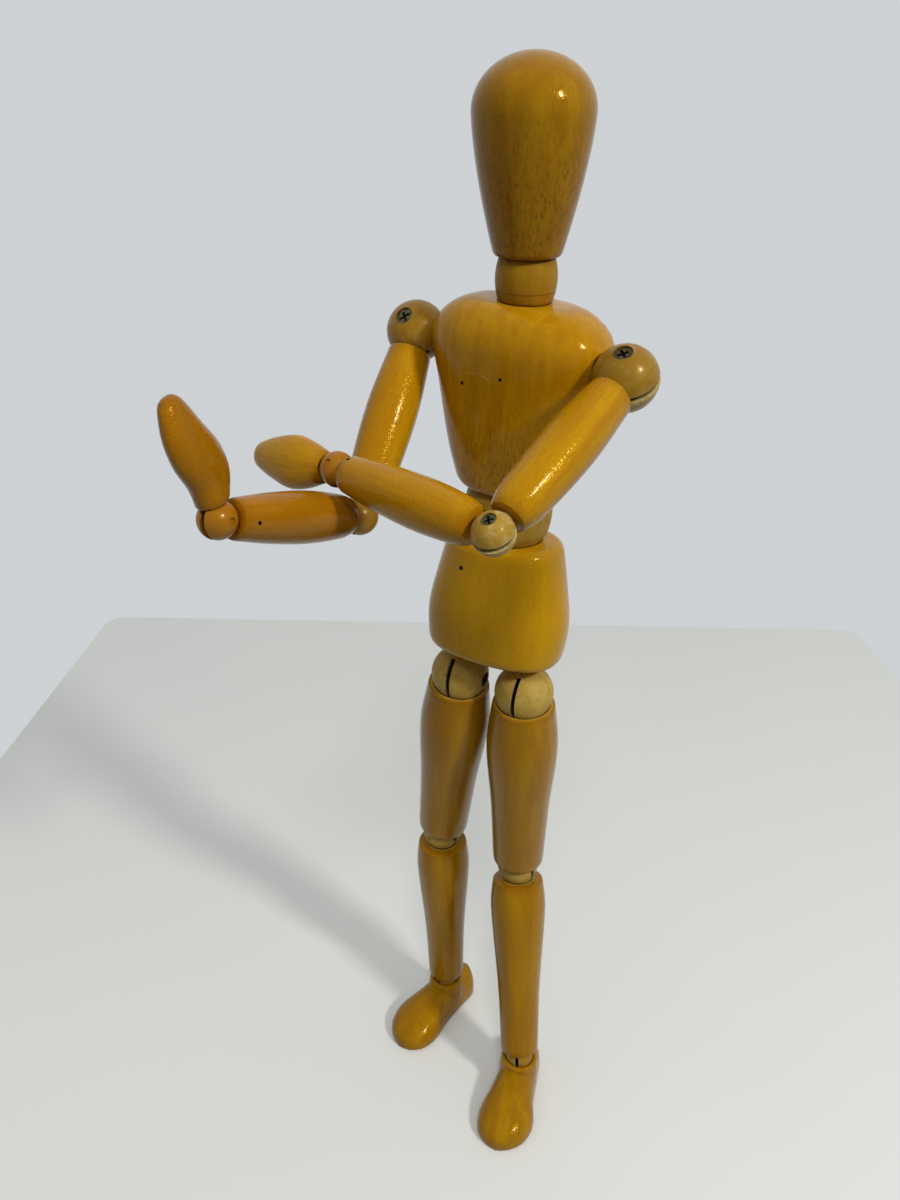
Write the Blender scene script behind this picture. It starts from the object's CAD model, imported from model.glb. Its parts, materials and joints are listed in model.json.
import json
import math
import random

import bmesh
import bpy
from mathutils import Matrix, Vector
from mathutils.bvhtree import BVHTree


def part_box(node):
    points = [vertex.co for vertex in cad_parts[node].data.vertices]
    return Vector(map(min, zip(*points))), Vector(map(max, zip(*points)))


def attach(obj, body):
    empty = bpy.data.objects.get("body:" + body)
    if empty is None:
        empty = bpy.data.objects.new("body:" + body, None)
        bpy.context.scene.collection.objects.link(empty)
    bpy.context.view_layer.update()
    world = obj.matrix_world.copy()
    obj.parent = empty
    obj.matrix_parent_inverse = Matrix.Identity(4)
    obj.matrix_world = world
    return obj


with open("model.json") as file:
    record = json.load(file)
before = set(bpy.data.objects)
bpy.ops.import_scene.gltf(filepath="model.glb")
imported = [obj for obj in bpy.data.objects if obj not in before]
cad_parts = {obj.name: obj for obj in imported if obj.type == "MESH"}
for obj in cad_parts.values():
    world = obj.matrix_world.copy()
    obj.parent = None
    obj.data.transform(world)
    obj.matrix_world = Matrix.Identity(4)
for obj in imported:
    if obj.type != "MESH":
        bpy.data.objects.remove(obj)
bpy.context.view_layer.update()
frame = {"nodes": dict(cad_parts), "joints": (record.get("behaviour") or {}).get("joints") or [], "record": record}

MM = 0.001
NODES = frame["nodes"]
JOINTS = {j["name"]: j for j in frame["joints"]}
BODY_OF = {n: b for b, ns in frame["record"]["behaviour"]["bodies"].items() for n in ns}
SIDES = ("left", "right")
UP = Vector((0.0, 0.0, 1.0))


# Camera: the place, turn and focal length of the photograph, in pixels of an image of this size.
IMAGE_W, IMAGE_H = 900.0, 1200.0
FOCAL_PX = 903.0
SENSOR_MM = 36.0
CAM_AT = Vector((104.61, -192.05, 302.44)) * MM
PSI, PITCH, ROLL = (math.radians(a) for a in (27.11, 24.56, 1.38))
FLAT_RIGHT = Vector((math.cos(PSI), math.sin(PSI), 0.0))
CAM_LOOK = Vector((-math.sin(PSI) * math.cos(PITCH), math.cos(PSI) * math.cos(PITCH), -math.sin(PITCH)))
FLAT_UP = FLAT_RIGHT.cross(CAM_LOOK)
CAM_RIGHT = FLAT_RIGHT * math.cos(ROLL) + FLAT_UP * math.sin(ROLL)
CAM_UP = FLAT_UP * math.cos(ROLL) - FLAT_RIGHT * math.sin(ROLL)


def pixel_ray(x, y):
    """The direction in which the camera sees a pixel."""
    right = CAM_RIGHT * ((x - IMAGE_W / 2) / FOCAL_PX)
    down = CAM_UP * ((y - IMAGE_H / 2) / FOCAL_PX)
    return (CAM_LOOK + right - down).normalized()


def on_table(x, y):
    """The place on the table's top, at height 0, that a pixel shows."""
    d = pixel_ray(x, y)
    return CAM_AT + d * (-CAM_AT.z / d.z)


def add(name, data):
    o = bpy.data.objects.new(name, data)
    bpy.context.scene.collection.objects.link(o)
    return o


def make_camera():
    cam = add("camera", bpy.data.cameras.new("camera"))
    cam.data.sensor_width = SENSOR_MM
    cam.data.lens = FOCAL_PX * SENSOR_MM / IMAGE_H
    cam.data.clip_start = 0.01
    cam.data.clip_end = 50.0
    turn = Matrix((CAM_RIGHT, CAM_UP, -CAM_LOOK)).transposed()
    cam.matrix_world = Matrix.Translation(CAM_AT) @ turn.to_4x4()
    bpy.context.scene.camera = cam


# Places and directions taken from the joints.
def pivot(name):
    return Vector(JOINTS[name]["pos_m"])


def axis_of(name):
    return Vector(JOINTS[name]["axis"]).normalized()


def upward(joint):
    axis = axis_of(joint)
    return axis if axis.z > 0 else -axis


# A direction that no limb lies along, for frames whose x may point anywhere.
ANY_WAY = Vector((0.31, 0.95, 0.07))
PARALLEL = 1e-4


def frame_along(at, along, across=None):
    """A frame at a place, with its z along one direction and its x as near as it can be to another."""
    z = along.normalized()
    hint = ANY_WAY if across is None else across
    x = hint - z * hint.dot(z)
    if x.length < PARALLEL:
        x = Vector((1.0, 0.0, 0.0)) - z * z.x
    x.normalize()
    turn = Matrix((x, z.cross(x), z)).transposed()
    return Matrix.Translation(at) @ turn.to_4x4()


def inside(node, place):
    """A node's points in a frame, in millimetres."""
    inv = place.inverted()
    return [(inv @ v.co) / MM for v in NODES[node].data.vertices]


def span(node, place):
    """A node's lowest and highest z in a frame, in millimetres."""
    zs = [p.z for p in inside(node, place)]
    return min(zs), max(zs)


def centre(node):
    lo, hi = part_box(node)
    return (lo + hi) / 2


TREES = {}


def surface_hit(node, start, direction):
    """Where a ray first meets a node, and the surface's normal there, towards the ray's start."""
    if node not in TREES:
        mesh = NODES[node].data
        TREES[node] = BVHTree.FromPolygons([v.co.copy() for v in mesh.vertices],
                                           [list(f.vertices) for f in mesh.polygons])
    at, normal, _, _ = TREES[node].ray_cast(start, direction)
    if at is None:
        raise RuntimeError(f"no surface of {node} in that direction")
    return at, (normal if normal.dot(direction) < 0 else -normal)


def scratch(node, a, b, strength):
    """A fine scratch between two pixels: its frame, half length in millimetres and strength."""
    p, normal = surface_hit(node, CAM_AT, pixel_ray(*a))
    q, _ = surface_hit(node, CAM_AT, pixel_ray(*b))
    at = frame_along((p + q) / 2, normal, q - p)
    return at, (q - p).length / 2 / MM, strength


# How far, in millimetres, a material's textures may start from the place of its frame.
TEXTURE_SHIFT = 90.0


class Tree:
    """A material as a small tree of nodes on the surface's own rest coordinates."""

    def __init__(self, name):
        self.mat = bpy.data.materials.new(name)
        self.mat.use_nodes = True
        self.nt = self.mat.node_tree
        self.nt.nodes.clear()
        out = self.nt.nodes.new("ShaderNodeOutputMaterial")
        self.bsdf = self.nt.nodes.new("ShaderNodeBsdfPrincipled")
        self.link(self.bsdf.outputs["BSDF"], out.inputs["Surface"])
        rng = random.Random(name)
        self.moved = Vector([rng.uniform(-TEXTURE_SHIFT, TEXTURE_SHIFT) for _ in range(3)]) * MM

    def link(self, a, b):
        self.nt.links.new(a, b)

    def set(self, socket, value):
        if isinstance(value, bpy.types.NodeSocket):
            self.link(value, socket)
        else:
            socket.default_value = value

    def fix(self, **values):
        """Constants of the shader itself."""
        for key, value in values.items():
            self.bsdf.inputs[key.replace("_", " ")].default_value = value

    def local(self, place):
        """Rest coordinates in millimetres in the given frame."""
        return self._mapped(place, (1.0, 1.0, 1.0), place.to_translation())

    def cloth(self, place, x=1.0, y=1.0, z=1.0):
        """The same for a texture: each axis divided by its stretch, from a start of this material's own."""
        return self._mapped(place, (x, y, z), place @ self.moved)

    def _mapped(self, place, stretch, start):
        tex = self.nt.nodes.new("ShaderNodeTexCoord")
        m = self.nt.nodes.new("ShaderNodeMapping")
        m.vector_type = "TEXTURE"
        m.inputs["Location"].default_value = start
        m.inputs["Rotation"].default_value = place.to_euler()
        m.inputs["Scale"].default_value = [MM * k for k in stretch]
        self.link(tex.outputs["Object"], m.inputs["Vector"])
        return m.outputs["Vector"]

    def noise(self, vec, scale, detail=3.0, rough=0.55, distort=0.0):
        n = self.nt.nodes.new("ShaderNodeTexNoise")
        n.inputs["Scale"].default_value = scale
        n.inputs["Detail"].default_value = detail
        n.inputs["Roughness"].default_value = rough
        n.inputs["Distortion"].default_value = distort
        self.link(vec, n.inputs["Vector"])
        return n.outputs["Fac"]

    def cells(self, vec, scale):
        n = self.nt.nodes.new("ShaderNodeTexVoronoi")
        n.inputs["Scale"].default_value = scale
        self.link(vec, n.inputs["Vector"])
        return n.outputs["Distance"]

    def math(self, op, a, b=0.0):
        n = self.nt.nodes.new("ShaderNodeMath")
        n.operation = op
        self.set(n.inputs[0], a)
        self.set(n.inputs[1], b)
        return n.outputs[0]

    def both(self, a, b):
        return self.math("MULTIPLY", a, b)

    def size(self, value):
        """The value without its sign."""
        return self.math("ABSOLUTE", value)

    def blend(self, a, b, share):
        """A weighted mean: the given share of the first, the rest of the second."""
        return self.math("ADD", self.both(a, share), self.both(b, 1.0 - share))

    def far(self, vec):
        """The distance from the frame's origin."""
        n = self.nt.nodes.new("ShaderNodeVectorMath")
        n.operation = "LENGTH"
        self.link(vec, n.inputs[0])
        return n.outputs["Value"]

    def ramp(self, value, lo, hi, a=0.0, b=1.0):
        """Goes smoothly from a to b while the value goes from lo to hi."""
        n = self.nt.nodes.new("ShaderNodeMapRange")
        n.interpolation_type = "SMOOTHSTEP"
        for key, v in (("Value", value), ("From Min", lo), ("From Max", hi), ("To Min", a), ("To Max", b)):
            self.set(n.inputs[key], v)
        return n.outputs["Result"]

    def axes(self, vec):
        n = self.nt.nodes.new("ShaderNodeSeparateXYZ")
        self.link(vec, n.inputs[0])
        return n.outputs[0], n.outputs[1], n.outputs[2]

    def mix(self, fac, a, b):
        n = self.nt.nodes.new("ShaderNodeMix")
        n.data_type = "RGBA"
        self.set(n.inputs[0], fac)
        self.set(n.inputs[6], a if isinstance(a, bpy.types.NodeSocket) else (*a, 1.0))
        self.set(n.inputs[7], b if isinstance(b, bpy.types.NodeSocket) else (*b, 1.0))
        return n.outputs[2]

    def bump(self, height, depth, before=None):
        """Relief of a depth in millimetres, on top of the relief before it."""
        n = self.nt.nodes.new("ShaderNodeBump")
        n.inputs["Strength"].default_value = 1.0
        n.inputs["Distance"].default_value = depth * MM
        self.link(height, n.inputs["Height"])
        if before is not None:
            self.link(before, n.inputs["Normal"])
        return n.outputs["Normal"]

    def finish(self, colour, roughness, normal):
        self.link(colour, self.bsdf.inputs["Base Color"])
        self.link(roughness, self.bsdf.inputs["Roughness"])
        self.link(normal, self.bsdf.inputs["Normal"])
        return self.mat


# Colours, linear.
PALE_HONEY = (0.640, 0.335, 0.0036)
HONEY = (0.560, 0.282, 0.0032)
AMBER = (0.440, 0.190, 0.0026)
DEEP_HONEY = (0.425, 0.214, 0.0028)
DEEP_AMBER = (0.315, 0.138, 0.0022)
RUSSET = (0.430, 0.158, 0.0030)
UMBER = (0.245, 0.082, 0.0025)
BARK = (0.105, 0.034, 0.0025)
OLIVE = (0.395, 0.205, 0.0100)
MOSS = (0.335, 0.188, 0.0070)
DUN = (0.300, 0.142, 0.0070)
PALE = (0.560, 0.385, 0.0850)
TAN = (0.440, 0.275, 0.0420)
CHALK = (0.700, 0.560, 0.2600)
SOOT = (0.026, 0.014, 0.0045)
# Reflections of wood are amber where they are seen square on, less so without lacquer.
AMBER_SHINE = (1.0, 0.62, 0.04, 1.0)
DULL_SHINE = (1.0, 0.76, 0.30, 1.0)
# Metals: bright and tarnished colour, and the range of roughness.
BRASS = ((0.190, 0.165, 0.080), (0.060, 0.052, 0.028), (0.30, 0.52))
BLACK = ((0.022, 0.018, 0.014), (0.008, 0.006, 0.005), (0.70, 0.90))
WIRE = ((0.36, 0.34, 0.31), (0.13, 0.10, 0.075), (0.30, 0.52))
BLADE = (*WIRE[:2], (0.34, 0.56))


def grain(t, place, light, dark, streak, depth):
    """Growth bands, clouds, speckle, fibres and short pores, drawn out along the frame's z."""
    fibres = t.noise(t.cloth(place, z=9.0), scale=1.35, distort=0.3)
    bands = t.noise(t.cloth(place, z=12.0), scale=0.24, detail=2.0, rough=0.5, distort=0.6)
    cloud = t.noise(t.cloth(place, z=2.5), scale=0.075, detail=2.0, rough=0.5)
    pores = t.cells(t.cloth(place, z=3.4), scale=0.66)
    speckle = t.noise(t.cloth(place, z=2.2), scale=1.3, detail=4.0, rough=0.65)
    col = t.mix(t.ramp(bands, 0.34, 0.68, 0.0, 0.75 * depth), light, dark)
    col = t.mix(t.ramp(cloud, 0.40, 0.70, 0.0, 0.55 * depth), col, dark)
    col = t.mix(t.ramp(speckle, 0.42, 0.70, 0.0, 0.45 * depth), col, dark)
    col = t.mix(t.ramp(fibres, 0.48, 0.80, 0.0, 0.40 * depth), col, streak)
    col = t.mix(t.ramp(pores, 0.04, 0.15, 0.24 * depth, 0.0), col, streak)
    return col, fibres


# Grime on lacquer, in millimetres from a block's end: full up to the first, gone at the second, and how ragged.
GRIME_FULL, GRIME_GONE, GRIME_RAGGED = 1.8, 5.0, 4.0
GRIME_DEPTH = 0.42
FLECK_DEPTH = 0.5
STREAK_DEPTH = 0.62
# The rim of a cup is worn back to tan wood, in millimetres beyond its ball.
RIM_WORN, RIM_SOUND, RIM_RAGGED = 0.25, 0.85, 0.55
# A scratch keeps its strength over this share of its length, and fades between these distances from its line.
SCRATCH_SHARE, SCRATCH_FULL, SCRATCH_GONE = 0.6, 0.05, 0.14
COAT_RIPPLE = 0.130


def lacquer(name, place, ends, light, dark, ripple=COAT_RIPPLE, streaks=None, cup=None, scratches=()):
    """Clear amber lacquer over turned wood: grain, dark flecks, grime near the joints, a coat that isn't level."""
    t = Tree(name)
    col, fibres = grain(t, place, light, dark, [(d + u) / 2 for d, u in zip(dark, UMBER)], 1.0)
    plain = t.local(place)
    z = t.axes(plain)[2]
    flecks = t.cells(t.cloth(place, z=2.4), scale=0.175)
    col = t.mix(t.ramp(flecks, 0.015, 0.050, FLECK_DEPTH, 0.0), col, BARK)
    if streaks is not None:
        smear = t.noise(t.cloth(place, z=4.5), scale=1.7, detail=4.0, rough=0.65, distort=0.2)
        col = t.mix(t.both(t.ramp(smear, 0.45, 0.72), t.ramp(z, *streaks, STREAK_DEPTH, 0.0)), col, BARK)
    dirt = t.noise(t.cloth(place), scale=0.55, rough=0.6)
    ragged = t.both(dirt, GRIME_RAGGED)
    low = t.ramp(t.math("ADD", z, ragged), ends[0] + GRIME_FULL, ends[0] + GRIME_GONE, 1.0, 0.0)
    high = t.ramp(t.math("SUBTRACT", z, ragged), ends[1] - GRIME_GONE, ends[1] - GRIME_FULL)
    col = t.mix(t.both(t.math("MAXIMUM", low, high), GRIME_DEPTH), col, UMBER)
    if cup is not None:
        worn = t.math("ADD", t.far(plain), t.both(dirt, -RIM_RAGGED))
        col = t.mix(t.ramp(worn, cup + RIM_WORN, cup + RIM_SOUND, 1.0, 0.0), col, TAN)
    for at, half, strength in scratches:
        along, across, _ = t.axes(t.local(at))
        line = t.both(t.ramp(t.size(along), half * SCRATCH_SHARE, half, 1.0, 0.0),
                      t.ramp(t.size(across), SCRATCH_FULL, SCRATCH_GONE, strength, 0.0))
        col = t.mix(line, col, CHALK)
    runs = t.noise(t.cloth(place, z=0.8), scale=1.05, detail=2.0, rough=0.5, distort=0.4)
    haze = t.noise(t.cloth(place), scale=1.6, detail=2.0)
    t.fix(Specular_IOR_Level=0.25, Specular_Tint=AMBER_SHINE, Coat_Weight=0.10, Coat_Roughness=0.09)
    rough = t.ramp(t.blend(runs, haze, 0.5), 0.30, 0.72, 0.09, 0.18)
    return t.finish(col, rough, t.bump(runs, ripple, t.bump(fibres, 0.012)))


BARE_GRAIN = 0.8
BARE_SOIL = 0.35
# A turned line: half its width in full, half its width where it ends, and its depth of colour.
LINE_FULL, LINE_GONE, LINE_DEPTH = 0.06, 0.20, 0.65


def bare(name, place, light, dark, gloss, cut=None):
    """Sanded wood with little or no coat: pores, handling marks, turning rings and perhaps one turned line."""
    t = Tree(name)
    col, fibres = grain(t, place, light, dark, UMBER, BARE_GRAIN)
    marks = t.noise(t.cloth(place), scale=0.34, detail=4.0, rough=0.62, distort=0.5)
    col = t.mix(t.ramp(marks, 0.50, 0.74, 0.0, BARE_SOIL), col, UMBER)
    rings = t.noise(t.cloth(place, x=30.0, y=30.0), scale=1.5, detail=2.0)
    if cut is not None:
        off = t.size(t.math("SUBTRACT", t.axes(t.local(place))[2], cut))
        col = t.mix(t.ramp(off, LINE_FULL, LINE_GONE, LINE_DEPTH, 0.0), col, BARK)
    t.fix(Specular_Tint=DULL_SHINE, Specular_IOR_Level=0.35)
    return t.finish(col, t.ramp(marks, 0.3, 0.7, *gloss), t.bump(fibres, 0.03, t.bump(rings, 0.03)))


BALL_GRAIN = 0.7
BALL_GRIME = 0.40
SPECK_DEPTH = 0.6
# Below a ball's round, the slot and the holes are dark: full and gone, in millimetres under the surface.
HOLE_FULL, HOLE_GONE, HOLE_DEPTH = 1.5, 0.2, 0.95
TORN_ROUGHNESS = 0.72
TORN_RELIEF = 0.4


def slotted(name, place, ball_r, half, look, torn, one_side):
    """A ball with a slot of twice the half width across the frame's x, the hinge line.

    Torn lips show raw wood: both of them when one_side is 0, or else the one on the side of its sign.
    """
    light, dark, gloss, coat, mottle = look
    t = Tree(name)
    col, fibres = grain(t, place, light, dark, UMBER, BALL_GRAIN)
    plain = t.local(place)
    worn = t.noise(t.cloth(place), scale=0.30, detail=4.0, rough=0.6, distort=0.4)
    col = t.mix(t.ramp(worn, 0.46, 0.66, 0.0, mottle), col, CHALK)
    grime = t.noise(t.cloth(place), scale=0.42, detail=4.0, rough=0.6)
    col = t.mix(t.ramp(grime, 0.52, 0.76, 0.0, BALL_GRIME), col, UMBER)
    specks = t.cells(t.cloth(place), scale=0.34)
    col = t.mix(t.ramp(specks, 0.02, 0.07, SPECK_DEPTH, 0.0), col, BARK)
    rough = t.ramp(grime, 0.3, 0.7, *gloss)
    normal = t.bump(fibres, 0.02)
    if torn > 0.0:
        x = t.axes(plain)[0]
        side = t.size(x) if one_side == 0.0 else t.both(x, one_side)
        ragged = t.noise(t.cloth(place, x=0.7), scale=0.9, detail=4.0, rough=0.65)
        away = t.math("SUBTRACT", side, t.both(ragged, 1.6 * torn))
        lips = t.both(t.ramp(away, half - 0.35 * torn, half + 0.05 * torn, 1.0, 0.0),
                      t.ramp(side, half * 0.3, half * 0.9))
        col = t.mix(lips, col, t.mix(t.ramp(ragged, 0.35, 0.65), CHALK, PALE))
        rough = t.math("MAXIMUM", rough, t.both(lips, TORN_ROUGHNESS))
        splinters = t.noise(t.cloth(place, y=3.0, z=3.0), scale=1.6, detail=4.0, rough=0.7)
        normal = t.bump(t.both(lips, splinters), TORN_RELIEF, normal)
    col = t.mix(t.ramp(t.far(plain), ball_r - HOLE_FULL, ball_r - HOLE_GONE, HOLE_DEPTH, 0.0), col, SOOT)
    t.fix(Specular_Tint=DULL_SHINE, Specular_IOR_Level=0.4, Coat_Weight=coat, Coat_Roughness=0.16)
    return t.finish(col, rough, normal)


# Dirt in a screw's drive: none down to the first depth in millimetres, full from the second.
DRIVE_CLEAN, DRIVE_DIRTY = 0.06, 0.40


def metal(name, place, bright, tarnish, gloss, relief=0.02, top=None):
    """Turned or drawn metal with tarnish in patches; below its top, a screw's drive is filled with dirt."""
    t = Tree(name)
    patch = t.noise(t.cloth(place), scale=0.9, detail=4.0, rough=0.65, distort=0.4)
    lines = t.noise(t.cloth(place, x=0.4, y=0.4, z=8.0), scale=2.6, detail=2.0)
    col = t.mix(t.ramp(patch, 0.36, 0.68), bright, tarnish)
    if top is not None:
        depth = t.size(t.math("SUBTRACT", t.axes(t.local(place))[2], top))
        col = t.mix(t.ramp(depth, DRIVE_CLEAN, DRIVE_DIRTY), col, SOOT)
    t.fix(Metallic=1.0)
    return t.finish(col, t.ramp(t.blend(patch, lines, 0.7), 0.3, 0.7, *gloss), t.bump(lines, relief))


WELD_MM = 0.002
EDGE_DEG = 32.0


def dress(node, material):
    """Gives a node its material. Facets of one rounded form are shaded as one surface; true edges stay sharp."""
    o = NODES[node]
    o.data.materials.clear()
    o.data.materials.append(material)
    o.data.polygons.foreach_set("use_smooth", [True] * len(o.data.polygons))
    o.modifiers.new("joined", "WELD").merge_threshold = WELD_MM * MM
    o.modifiers.new("edges", "EDGE_SPLIT").split_angle = math.radians(EDGE_DEG)
    o.modifiers.new("shading", "WEIGHTED_NORMAL").mode = "CORNER_ANGLE"


# Blocks of the trunk: light and dark wood, the coat's ripple, and in millimetres how far beyond the low and high end
# the grime is counted from, and the heights over the low end between which dark streaks fade out.
BLOCKS = {"head": (DEEP_HONEY, DEEP_AMBER, 0.060, (1.0, 20.0), (12.0, 42.0)),
          "chest": (HONEY, AMBER, 0.055, (1.0, 9.0), (8.0, 42.0)),
          "pelvis": (PALE_HONEY, HONEY, 0.120, (3.0, 9.0), None)}
# Scratches on the chest, as two pixels and a strength, and a pixel on the neck bead's turned line.
CHEST_SCRATCHES = (((481, 375), (490, 382), 0.9), ((463, 372), (478, 374), 0.35))
NECK_LINE = (525, 296)
NECK_GLOSS = (0.36, 0.52)
WAIST_GLOSS = (0.40, 0.58)
PELVIS_BELOW_WAIST = 0.03


def dress_block(node, place, scratches=()):
    light, dark, ripple, beyond, fade = BLOCKS[node]
    lo, hi = span(node, place)
    streaks = (lo + fade[0], lo + fade[1]) if fade else None
    dress(node, lacquer(node + "_wood", place, (lo - beyond[0], hi + beyond[1]), light, dark, ripple, streaks,
                        scratches=scratches))


def dress_trunk():
    head_at = frame_along(pivot("neck_tilt"), upward("neck_turn"))
    chest_at = frame_along(pivot("waist_tilt"), upward("waist_turn"))
    dress_block("head", head_at)
    dress_block("chest", chest_at, [scratch("chest", *s) for s in CHEST_SCRATCHES])
    dress_block("pelvis", frame_along(pivot("waist_tilt") - UP * PELVIS_BELOW_WAIST, UP))
    line, _ = surface_hit("neck_ball", CAM_AT, pixel_ray(*NECK_LINE))
    cut = (head_at.inverted() @ line).z / MM
    dress("neck_ball", bare("neck_bead", head_at, OLIVE, DUN, NECK_GLOSS, cut))
    dress("waist_ball", bare("waist_bead", chest_at, TAN, OLIVE, WAIST_GLOSS))
    for where, at in (("neck", head_at), ("waist", chest_at)):
        for piece in ("hook", "spring", "eye"):
            dress(f"{where}_{piece}", metal(f"{where}_{piece}_wire", at, *WIRE))


# The joint a limb hangs on, the limb, and the joint at its other end.
LIMBS = (("shoulder", "upper_arm", "elbow"), ("elbow", "forearm", "wrist"), ("wrist", "hand", None),
         ("hip", "thigh", "knee"), ("knee", "shin", "ankle"), ("ankle", "foot", None))
SCREWED = ("shoulder", "elbow", "hip")
SCREW_RELIEF = 0.03
# Looks of balls: light and dark wood, range of roughness, coat and how much the surface is rubbed pale.
LACQUERED = (OLIVE, DUN, (0.26, 0.44), 0.16, 0.10)
DUSKY = (MOSS, DUN, (0.24, 0.40), 0.16, 0.10)
RUBBED = (TAN, OLIVE, (0.38, 0.56), 0.08, 0.45)
RUSTY = (RUSSET, DEEP_AMBER, (0.20, 0.36), 0.12, 0.0)
RAW = (PALE, TAN, (0.46, 0.62), 0.0, 0.12)
BALLS = {"shoulder": LACQUERED, "elbow": LACQUERED, "wrist": RUSTY, "hip": RAW, "knee": RAW, "ankle": LACQUERED}
OWN_LOOK = {("left", "elbow"): RUBBED, ("left", "shoulder"): DUSKY}
# How far the lips of a slot are torn, and whether only the lower one is.
TORN = {("left", "shoulder"): (1.8, True), ("left", "elbow"): (0.28, False),
        ("left", "wrist"): (0.0, False), ("right", "wrist"): (0.0, False)}
TORN_ELSEWHERE = (0.15, False)
# A slot is this much wider than its blade, on each side, in millimetres.
SLOT_PLAY = 0.2
# Counted from the hinge outwards, the point after this share of a ball's points lies on its round.
ON_THE_ROUND = 0.6
REDDER = ("right_forearm", "right_hand")
DEEPER = ("thigh", "shin", "foot")
CUPPED = ("thigh", "shin")
# The grain of a foot runs from the ankle towards the foot's middle, and goes down by this, in metres.
FOOT_DROP = 0.006


def wood_of(node, limb):
    if node in REDDER:
        return RUSSET, DEEP_AMBER
    return (DEEP_HONEY, DEEP_AMBER) if limb in DEEPER else (HONEY, AMBER)


def dress_ball(side, joint, place):
    """Dresses a slotted ball and gives its radius in millimetres."""
    node = f"{side}_{joint}_ball"
    far = sorted(p.length for p in inside(node, place))
    ball_r = far[int(len(far) * ON_THE_ROUND)]
    half = max(abs(p.x) for p in inside(f"{side}_{joint}_blade", place)) + SLOT_PLAY
    torn, below = TORN.get((side, joint), TORN_ELSEWHERE)
    down = -math.copysign(1.0, place.to_3x3().col[0].z) if below else 0.0
    look = OWN_LOOK.get((side, joint), BALLS[joint])
    dress(node, slotted(node + "_wood", place, ball_r, half, look, torn, down))
    return ball_r


def dress_axle(side, joint, place):
    """Dresses the screw or the pin that a joint swings on. A screw's drive is at its wide end."""
    if joint in SCREWED:
        screw = f"{side}_{joint}_screw"
        lo, hi = span(screw, place)
        wide = max(inside(screw, place), key=lambda p: math.hypot(p.x, p.y))
        look = BLACK if joint == "hip" else BRASS
        dress(screw, metal(screw + "_metal", place, *look, SCREW_RELIEF, hi if wide.z > 0 else lo))
    else:
        pin = f"{side}_{joint}_pin"
        light, dark, gloss = BALLS[joint][:3]
        dress(pin, bare(pin + "_wood", place, light, dark, gloss))


def dress_side(side):
    for joint, limb, after in LIMBS:
        at = pivot(f"{side}_{joint}_hinge")
        hinge = axis_of(f"{side}_{joint}_hinge")
        node = f"{side}_{limb}"
        blade = f"{side}_{joint}_blade"
        far = pivot(f"{side}_{after}_hinge") if after else centre(node)
        if limb == "foot":
            far = at + Vector((far.x - at.x, far.y - at.y, -FOOT_DROP))
        swing = far - at
        ball_at = frame_along(at, swing - hinge * swing.dot(hinge), hinge)
        ball_r = dress_ball(side, joint, ball_at)
        place = frame_along(at, swing)
        dress(node, lacquer(node + "_wood", place, span(node, place), *wood_of(node, limb),
                            cup=ball_r if limb in CUPPED else None))
        dress(blade, metal(blade + "_steel", ball_at, *BLADE))
        dress_axle(side, joint, frame_along(at, hinge))


# Nails that hold the spigots of the balls in their bores: a thin shank and a low domed head, flush with the wood.
# The outline is given as shares of the head's radius and heights in millimetres.
NAIL_OUTLINE = ((0.0, -1.6), (0.6, -1.6), (0.6, -0.35), (1.0, -0.22), (1.0, 0.0), (0.8, 0.035), (0.4, 0.045),
                (0.0, 0.05))
NAIL_R = 0.55
NAIL_SEGMENTS = 24
NAIL_WOBBLE = 0.05
NAIL_RELIEF = 0.05
NAIL_SHARP_DEG = 50.0
# Nails that the photograph shows: name, node, pixel and radius.
SEEN_NAILS = (("nail_left_forearm", "left_forearm", (348, 459), 0.5),
              ("nail_right_forearm", "right_forearm", (260, 523), 0.5),
              ("nail_chest_right", "chest", (462, 383), 0.5),
              ("nail_chest_left", "chest", (500, 380), 0.5),
              ("nail_pelvis_right", "pelvis", (461, 568), 0.7))
# The rest are driven in from the back: a limb and the joints at its two ends. Distances are in metres.
BACK_NAILS = (("upper_arm", "shoulder", "elbow"), ("thigh", "hip", "knee"), ("shin", "knee", "ankle"))
BACK = Vector((0.25, 1.0, 0.0))
FROM_JOINT = 0.011
OUT_OF_LIMB = 0.06
BEHIND_HIP = Vector((0.0, 0.08, 0.016))
FORWARD = Vector((0.0, -1.0, 0.0))


def to_object(name, bm):
    """Turns a closed shell into an object of the scene."""
    bmesh.ops.recalc_face_normals(bm, faces=bm.faces)
    mesh = bpy.data.meshes.new(name)
    bm.to_mesh(mesh)
    bm.free()
    return add(name, mesh)


def nail_solid(name, radius, place):
    """A closed solid of revolution about the frame's z, a little uneven."""
    rng = random.Random(len(name))
    bm = bmesh.new()
    rings = []
    for share, h in NAIL_OUTLINE:
        if share == 0.0:
            rings.append([bm.verts.new(place @ (Vector((0.0, 0.0, h)) * MM))])
            continue
        ring = []
        for k in range(NAIL_SEGMENTS):
            a = 2.0 * math.pi * k / NAIL_SEGMENTS
            r = radius * share * (1.0 + NAIL_WOBBLE * (rng.random() - 0.5))
            ring.append(bm.verts.new(place @ (Vector((r * math.cos(a), r * math.sin(a), h)) * MM)))
        rings.append(ring)
    for a, b in zip(rings, rings[1:]):
        for k in range(NAIL_SEGMENTS):
            n = (k + 1) % NAIL_SEGMENTS
            quad = [a[k % len(a)], a[n % len(a)], b[n % len(b)], b[k % len(b)]]
            corners = list(dict.fromkeys(quad))
            if len(corners) > 2:
                bm.faces.new(corners)
    o = to_object(name, bm)
    o.data.polygons.foreach_set("use_smooth", [True] * len(o.data.polygons))
    o.data.set_sharp_from_angle(angle=math.radians(NAIL_SHARP_DEG))
    return o


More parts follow.
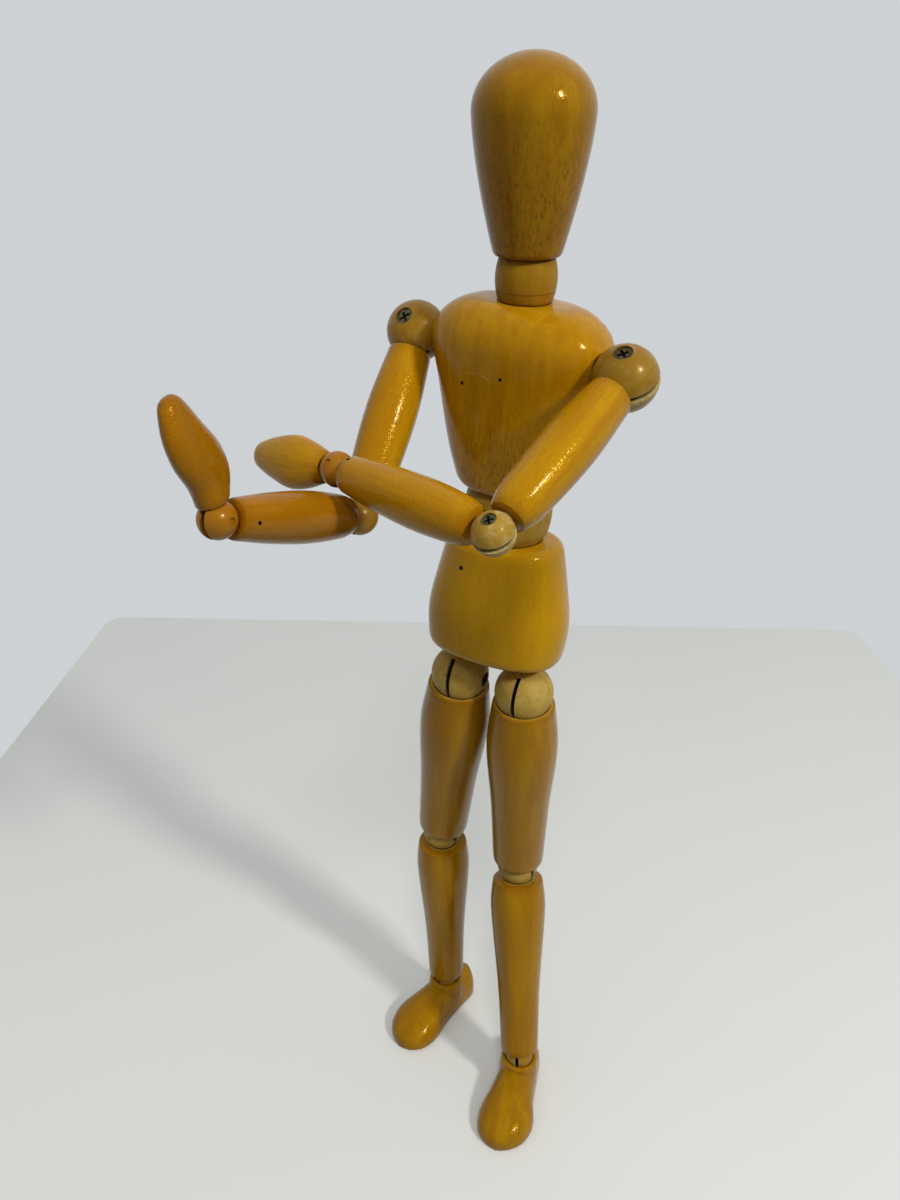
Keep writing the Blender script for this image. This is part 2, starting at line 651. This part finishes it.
def nail(name, node, start, direction, radius=NAIL_R):
    """A nail where a ray first meets a node, square to its surface."""
    at, normal = surface_hit(node, start, direction)
    place = frame_along(at, normal)
    o = nail_solid(name, radius, place)
    o.data.materials.append(metal(name + "_iron", place, *BLACK, NAIL_RELIEF))
    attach(o, BODY_OF[node])


def nails():
    for name, node, pixel, radius in SEEN_NAILS:
        nail(name, node, CAM_AT, pixel_ray(*pixel), radius)
    for side in SIDES:
        for limb, before, after in BACK_NAILS:
            far = pivot(f"{side}_{after}_hinge")
            along = (far - pivot(f"{side}_{before}_hinge")).normalized()
            back = (BACK - along * BACK.dot(along)).normalized()
            at = far - along * FROM_JOINT
            nail(f"nail_{side}_{limb}", f"{side}_{limb}", at + back * OUT_OF_LIMB, -back)
    nail("nail_pelvis_left", "pelvis", pivot("left_hip_hinge") + BEHIND_HIP, FORWARD)


def seen_ray(nt):
    """1 for what the camera sees, straight or in a mirror or glass, and 0 for light that bounces on."""
    path = nt.nodes.new("ShaderNodeLightPath")
    mirrored = nt.nodes.new("ShaderNodeMath")
    seen = nt.nodes.new("ShaderNodeMath")
    mirrored.operation = seen.operation = "MAXIMUM"
    nt.links.new(path.outputs["Is Glossy Ray"], mirrored.inputs[0])
    nt.links.new(path.outputs["Is Transmission Ray"], mirrored.inputs[1])
    nt.links.new(path.outputs["Is Camera Ray"], seen.inputs[0])
    nt.links.new(mirrored.outputs[0], seen.inputs[1])
    return seen.outputs[0]


# The table: a pale slab with rounded back corners. Each edge runs through two pixels of the photograph.
LEFT_EDGE = ((0, 731), (108, 620))
BACK_EDGE = ((117, 617), (851, 630))
RIGHT_EDGE = ((856, 633), (900, 675))
TABLE_DEPTH = 0.70
TABLE_THICK = 0.02
CORNER_R = 0.012
CORNER_STEPS = 6
PAINT = (0.875, 0.890, 0.855)
PAINT_DIM = (0.858, 0.874, 0.842)
# The paint as the light that bounces off it finds it.
PAINT_BOUNCE = (0.34, 0.345, 0.33)


def meeting(one, two):
    """Where two lines on the table meet, each given by two pixels."""
    p, q = (on_table(*pixel) for pixel in one)
    r, s = (on_table(*pixel) for pixel in two)
    d, e = q - p, s - r
    k = ((r.x - p.x) * e.y - (r.y - p.y) * e.x) / (d.x * e.y - d.y * e.x)
    return p + d * k


def rounded(at, before, after):
    """Points of a rounded corner, from the edge in one direction to the edge in the other."""
    turns = [math.radians(90.0 * k / CORNER_STEPS) for k in range(CORNER_STEPS + 1)]
    return [at + before * CORNER_R * (1 - math.sin(q)) + after * CORNER_R * (1 - math.cos(q)) for q in turns]


def table_top():
    a, b = meeting(LEFT_EDGE, BACK_EDGE), meeting(BACK_EDGE, RIGHT_EDGE)
    back = (b - a).normalized()
    near = Vector((back.y, -back.x, 0.0))
    ring = [a + near * TABLE_DEPTH, *rounded(a, near, back), *rounded(b, -back, near), b + near * TABLE_DEPTH]
    bm = bmesh.new()
    top = [bm.verts.new((p.x, p.y, 0.0)) for p in ring]
    low = [bm.verts.new((p.x, p.y, -TABLE_THICK)) for p in ring]
    bm.faces.new(top)
    bm.faces.new(list(reversed(low)))
    for k in range(len(top)):
        n = (k + 1) % len(top)
        bm.faces.new((top[n], top[k], low[k], low[n]))
    o = to_object("floor", bm)
    t = Tree("floor_paint")
    mottle = t.noise(t.cloth(Matrix.Identity(4)), scale=0.004, detail=2.0)
    paint = t.mix(t.ramp(mottle, 0.35, 0.65), PAINT, PAINT_DIM)
    t.link(t.mix(seen_ray(t.nt), PAINT_BOUNCE, paint), t.bsdf.inputs["Base Color"])
    t.fix(Roughness=0.55)
    o.data.materials.append(t.mat)


# Lamps: direction and distance from the figure's middle, size, watts and colour.
MIDDLE = Vector((0.0, 0.0, 0.17))
KEY = (Vector((0.768, -0.177, 0.616)), 1.2, 0.15, 6.2, (1.0, 0.99, 0.96))
TOP = (Vector((0.289, -0.544, 0.788)), 1.3, 0.30, 4.2, (1.0, 0.99, 0.97))
# The room's light comes mostly from the ceiling, and a little from the sides and from below.
ROOM_LOW, ROOM_HIGH = 0.05, 0.56
ROOM_WHITE = (0.97, 0.985, 1.0, 1.0)
WALL = (0.615, 0.640, 0.655, 1.0)


def lamp(name, way, distance, size, watts, colour):
    data = bpy.data.lights.new(name, "AREA")
    data.shape = "DISK"
    data.size = size
    data.energy = watts
    data.color = colour
    o = add(name, data)
    o.location = MIDDLE + way * distance
    o.rotation_mode = "QUATERNION"
    o.rotation_quaternion = (MIDDLE - o.location).to_track_quat("-Z", "Y")
    return o


def light_up():
    lamp("key", *KEY)
    lamp("top", *TOP).visible_glossy = False
    world = bpy.data.worlds.new("room")
    bpy.context.scene.world = world
    world.use_nodes = True
    nt = world.node_tree
    nt.nodes.clear()

    def node(kind, **values):
        n = nt.nodes.new(kind)
        for key, value in values.items():
            n.inputs[key.replace("_", " ")].default_value = value
        return n

    way = node("ShaderNodeTexCoord")
    parts = node("ShaderNodeSeparateXYZ")
    nt.links.new(way.outputs["Generated"], parts.inputs[0])
    upper = node("ShaderNodeMapRange", From_Min=0.0, From_Max=1.0, To_Min=ROOM_LOW, To_Max=ROOM_HIGH)
    upper.interpolation_type = "SMOOTHSTEP"
    nt.links.new(parts.outputs["Z"], upper.inputs["Value"])
    soft = node("ShaderNodeBackground", Color=ROOM_WHITE)
    nt.links.new(upper.outputs["Result"], soft.inputs["Strength"])
    wall = node("ShaderNodeBackground", Color=WALL, Strength=1.0)
    both = node("ShaderNodeMixShader")
    nt.links.new(seen_ray(nt), both.inputs["Fac"])
    nt.links.new(soft.outputs[0], both.inputs[1])
    nt.links.new(wall.outputs[0], both.inputs[2])
    out = node("ShaderNodeOutputWorld")
    nt.links.new(both.outputs[0], out.inputs["Surface"])


make_camera()
dress_trunk()
for side in SIDES:
    dress_side(side)
nails()
table_top()
light_up()
bpy.context.scene.view_settings.view_transform = "Standard"
